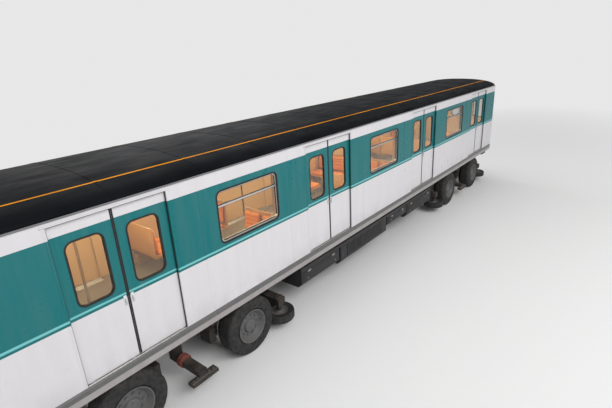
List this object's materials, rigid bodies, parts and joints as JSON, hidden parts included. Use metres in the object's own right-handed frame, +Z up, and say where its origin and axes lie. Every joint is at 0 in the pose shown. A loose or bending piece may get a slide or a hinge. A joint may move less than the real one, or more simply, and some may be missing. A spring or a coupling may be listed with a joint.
{
  "type": "rubber-tyred metro car",
  "caption": "Intermediate metro car on rubber-tyred bogies, with sliding pocket doors, a window band and face-to-face benches.",
  "frame": {"origin": "on the rolling surface under the middle of the car", "axes": "+X along the car towards its front end, +Y towards its left side, +Z up"},
  "size_m": [15.2, 2.4764, 3.3003],
  "materials": {
    "side_paint": "gloss white enamel with jade green bands",
    "roof_paint": "sooty black roof paint",
    "frame_paint": "dusty black underframe paint",
    "floor_cover": "worn grey floor covering",
    "tyre_rubber": "black tyre rubber",
    "wheel_steel": "dusty steel with bright treads",
    "seat_cloth": "warm orange seat covering",
    "pole_steel": "polished steel tube",
    "window_glass": "tinted window glass",
    "trim_metal": "satin aluminium trim",
    "rubber_seal": "black rubber seal",
    "inner_panel": "cream laminate"
  },
  "bodies": {
    "root": {"roof": "roof_paint", "floor": "floor_cover", "underframe": "frame_paint", "grab_poles": "pole_steel", "side_left": "side_paint", "equipment_left": "frame_paint", "benches_left_1": "seat_cloth", "benches_left_2": "seat_cloth", "benches_left_3": "seat_cloth", "side_right": "side_paint", "equipment_right": "frame_paint", "benches_right_1": "seat_cloth", "benches_right_2": "seat_cloth", "benches_right_3": "seat_cloth", "end_wall_front": "side_paint", "headstock_front": "frame_paint", "end_wall_rear": "side_paint", "headstock_rear": "frame_paint"},
    "door_leaf_left_1a": {"door_leaf_left_1a": "side_paint"},
    "door_leaf_left_1b": {"door_leaf_left_1b": "side_paint"},
    "door_leaf_left_2a": {"door_leaf_left_2a": "side_paint"},
    "door_leaf_left_2b": {"door_leaf_left_2b": "side_paint"},
    "door_leaf_left_3a": {"door_leaf_left_3a": "side_paint"},
    "door_leaf_left_3b": {"door_leaf_left_3b": "side_paint"},
    "door_leaf_left_4a": {"door_leaf_left_4a": "side_paint"},
    "door_leaf_left_4b": {"door_leaf_left_4b": "side_paint"},
    "door_leaf_right_1a": {"door_leaf_right_1a": "side_paint"},
    "door_leaf_right_1b": {"door_leaf_right_1b": "side_paint"},
    "door_leaf_right_2a": {"door_leaf_right_2a": "side_paint"},
    "door_leaf_right_2b": {"door_leaf_right_2b": "side_paint"},
    "door_leaf_right_3a": {"door_leaf_right_3a": "side_paint"},
    "door_leaf_right_3b": {"door_leaf_right_3b": "side_paint"},
    "door_leaf_right_4a": {"door_leaf_right_4a": "side_paint"},
    "door_leaf_right_4b": {"door_leaf_right_4b": "side_paint"},
    "end_door_front": {"end_door_front": "side_paint"},
    "coupler_front": {"coupler_front": "frame_paint"},
    "bogie_front": {"bogie_frame_front": "frame_paint"},
    "axle_front_in": {"axle_front_in": "wheel_steel", "tyre_front_in_left": "tyre_rubber", "tyre_front_in_right": "tyre_rubber"},
    "guide_wheel_front_in_left": {"guide_wheel_front_in_left": "tyre_rubber"},
    "guide_wheel_front_in_right": {"guide_wheel_front_in_right": "tyre_rubber"},
    "axle_front_out": {"axle_front_out": "wheel_steel", "tyre_front_out_left": "tyre_rubber", "tyre_front_out_right": "tyre_rubber"},
    "guide_wheel_front_out_left": {"guide_wheel_front_out_left": "tyre_rubber"},
    "guide_wheel_front_out_right": {"guide_wheel_front_out_right": "tyre_rubber"},
    "end_door_rear": {"end_door_rear": "side_paint"},
    "coupler_rear": {"coupler_rear": "frame_paint"},
    "bogie_rear": {"bogie_frame_rear": "frame_paint"},
    "axle_rear_in": {"axle_rear_in": "wheel_steel", "tyre_rear_in_left": "tyre_rubber", "tyre_rear_in_right": "tyre_rubber"},
    "guide_wheel_rear_in_left": {"guide_wheel_rear_in_left": "tyre_rubber"},
    "guide_wheel_rear_in_right": {"guide_wheel_rear_in_right": "tyre_rubber"},
    "axle_rear_out": {"axle_rear_out": "wheel_steel", "tyre_rear_out_left": "tyre_rubber", "tyre_rear_out_right": "tyre_rubber"},
    "guide_wheel_rear_out_left": {"guide_wheel_rear_out_left": "tyre_rubber"},
    "guide_wheel_rear_out_right": {"guide_wheel_rear_out_right": "tyre_rubber"}
  },
  "joints": [
    {"name": "door_left_1a_slide", "type": "slide", "parent": "root", "child": "door_leaf_left_1a", "axis": [-1, 0, 0], "range_m": [0, 0.57]},
    {"name": "door_left_1b_slide", "type": "slide", "parent": "root", "child": "door_leaf_left_1b", "axis": [1, 0, 0], "range_m": [0, 0.57]},
    {"name": "door_left_2a_slide", "type": "slide", "parent": "root", "child": "door_leaf_left_2a", "axis": [-1, 0, 0], "range_m": [0, 0.57]},
    {"name": "door_left_2b_slide", "type": "slide", "parent": "root", "child": "door_leaf_left_2b", "axis": [1, 0, 0], "range_m": [0, 0.57]},
    {"name": "door_left_3a_slide", "type": "slide", "parent": "root", "child": "door_leaf_left_3a", "axis": [-1, 0, 0], "range_m": [0, 0.57]},
    {"name": "door_left_3b_slide", "type": "slide", "parent": "root", "child": "door_leaf_left_3b", "axis": [1, 0, 0], "range_m": [0, 0.57]},
    {"name": "door_left_4a_slide", "type": "slide", "parent": "root", "child": "door_leaf_left_4a", "axis": [-1, 0, 0], "range_m": [0, 0.57]},
    {"name": "door_left_4b_slide", "type": "slide", "parent": "root", "child": "door_leaf_left_4b", "axis": [1, 0, 0], "range_m": [0, 0.57]},
    {"name": "door_right_1a_slide", "type": "slide", "parent": "root", "child": "door_leaf_right_1a", "axis": [-1, 0, 0], "range_m": [0, 0.57]},
    {"name": "door_right_1b_slide", "type": "slide", "parent": "root", "child": "door_leaf_right_1b", "axis": [1, 0, 0], "range_m": [0, 0.57]},
    {"name": "door_right_2a_slide", "type": "slide", "parent": "root", "child": "door_leaf_right_2a", "axis": [-1, 0, 0], "range_m": [0, 0.57]},
    {"name": "door_right_2b_slide", "type": "slide", "parent": "root", "child": "door_leaf_right_2b", "axis": [1, 0, 0], "range_m": [0, 0.57]},
    {"name": "door_right_3a_slide", "type": "slide", "parent": "root", "child": "door_leaf_right_3a", "axis": [-1, 0, 0], "range_m": [0, 0.57]},
    {"name": "door_right_3b_slide", "type": "slide", "parent": "root", "child": "door_leaf_right_3b", "axis": [1, 0, 0], "range_m": [0, 0.57]},
    {"name": "door_right_4a_slide", "type": "slide", "parent": "root", "child": "door_leaf_right_4a", "axis": [-1, 0, 0], "range_m": [0, 0.57]},
    {"name": "door_right_4b_slide", "type": "slide", "parent": "root", "child": "door_leaf_right_4b", "axis": [1, 0, 0], "range_m": [0, 0.57]},
    {"name": "end_door_front_swing", "type": "hinge", "parent": "root", "child": "end_door_front", "pos_m": [7.27, -0.285, 1.2], "axis": [0, 0, 1], "range_deg": [0, 90]},
    {"name": "coupler_front_swing", "type": "hinge", "parent": "root", "child": "coupler_front", "pos_m": [7.06, 0, 0.65], "axis": [0, 0, 1], "range_deg": [-12, 12]},
    {"name": "bogie_front_steer", "type": "hinge", "parent": "root", "child": "bogie_front", "pos_m": [5, 0, 0.8], "axis": [0, 0, 1], "range_deg": [-7.5, 7.5]},
    {"name": "axle_front_in_spin", "type": "hinge", "parent": "bogie_front", "child": "axle_front_in", "pos_m": [4, 0, 0.47271], "axis": [0, 1, 0], "continuous": true},
    {"name": "guide_wheel_front_in_left_spin", "type": "hinge", "parent": "bogie_front", "child": "guide_wheel_front_in_left", "pos_m": [3.24, 0.975, 0.24], "axis": [0, 0, 1], "continuous": true},
    {"name": "guide_wheel_front_in_right_spin", "type": "hinge", "parent": "bogie_front", "child": "guide_wheel_front_in_right", "pos_m": [3.24, -0.975, 0.24], "axis": [0, 0, 1], "continuous": true},
    {"name": "axle_front_out_spin", "type": "hinge", "parent": "bogie_front", "child": "axle_front_out", "pos_m": [6, 0, 0.47271], "axis": [0, 1, 0], "continuous": true},
    {"name": "guide_wheel_front_out_left_spin", "type": "hinge", "parent": "bogie_front", "child": "guide_wheel_front_out_left", "pos_m": [6.76, 0.975, 0.24], "axis": [0, 0, 1], "continuous": true},
    {"name": "guide_wheel_front_out_right_spin", "type": "hinge", "parent": "bogie_front", "child": "guide_wheel_front_out_right", "pos_m": [6.76, -0.975, 0.24], "axis": [0, 0, 1], "continuous": true},
    {"name": "end_door_rear_swing", "type": "hinge", "parent": "root", "child": "end_door_rear", "pos_m": [-7.27, 0.285, 1.2], "axis": [0, 0, 1], "range_deg": [0, 90]},
    {"name": "coupler_rear_swing", "type": "hinge", "parent": "root", "child": "coupler_rear", "pos_m": [-7.06, 0, 0.65], "axis": [0, 0, 1], "range_deg": [-12, 12]},
    {"name": "bogie_rear_steer", "type": "hinge", "parent": "root", "child": "bogie_rear", "pos_m": [-5, 0, 0.8], "axis": [0, 0, 1], "range_deg": [-7.5, 7.5]},
    {"name": "axle_rear_in_spin", "type": "hinge", "parent": "bogie_rear", "child": "axle_rear_in", "pos_m": [-4, 0, 0.47271], "axis": [0, 1, 0], "continuous": true},
    {"name": "guide_wheel_rear_in_left_spin", "type": "hinge", "parent": "bogie_rear", "child": "guide_wheel_rear_in_left", "pos_m": [-3.24, 0.975, 0.24], "axis": [0, 0, 1], "continuous": true},
    {"name": "guide_wheel_rear_in_right_spin", "type": "hinge", "parent": "bogie_rear", "child": "guide_wheel_rear_in_right", "pos_m": [-3.24, -0.975, 0.24], "axis": [0, 0, 1], "continuous": true},
    {"name": "axle_rear_out_spin", "type": "hinge", "parent": "bogie_rear", "child": "axle_rear_out", "pos_m": [-6, 0, 0.47271], "axis": [0, 1, 0], "continuous": true},
    {"name": "guide_wheel_rear_out_left_spin", "type": "hinge", "parent": "bogie_rear", "child": "guide_wheel_rear_out_left", "pos_m": [-6.76, 0.975, 0.24], "axis": [0, 0, 1], "continuous": true},
    {"name": "guide_wheel_rear_out_right_spin", "type": "hinge", "parent": "bogie_rear", "child": "guide_wheel_rear_out_right", "pos_m": [-6.76, -0.975, 0.24], "axis": [0, 0, 1], "continuous": true}
  ],
  "couplings": [
    {"joint": "door_left_1b_slide", "follows": "door_left_1a_slide", "ratio": 1},
    {"joint": "door_left_2b_slide", "follows": "door_left_2a_slide", "ratio": 1},
    {"joint": "door_left_3b_slide", "follows": "door_left_3a_slide", "ratio": 1},
    {"joint": "door_left_4b_slide", "follows": "door_left_4a_slide", "ratio": 1},
    {"joint": "door_right_1b_slide", "follows": "door_right_1a_slide", "ratio": 1},
    {"joint": "door_right_2b_slide", "follows": "door_right_2a_slide", "ratio": 1},
    {"joint": "door_right_3b_slide", "follows": "door_right_3a_slide", "ratio": 1},
    {"joint": "door_right_4b_slide", "follows": "door_right_4a_slide", "ratio": 1}
  ]
}
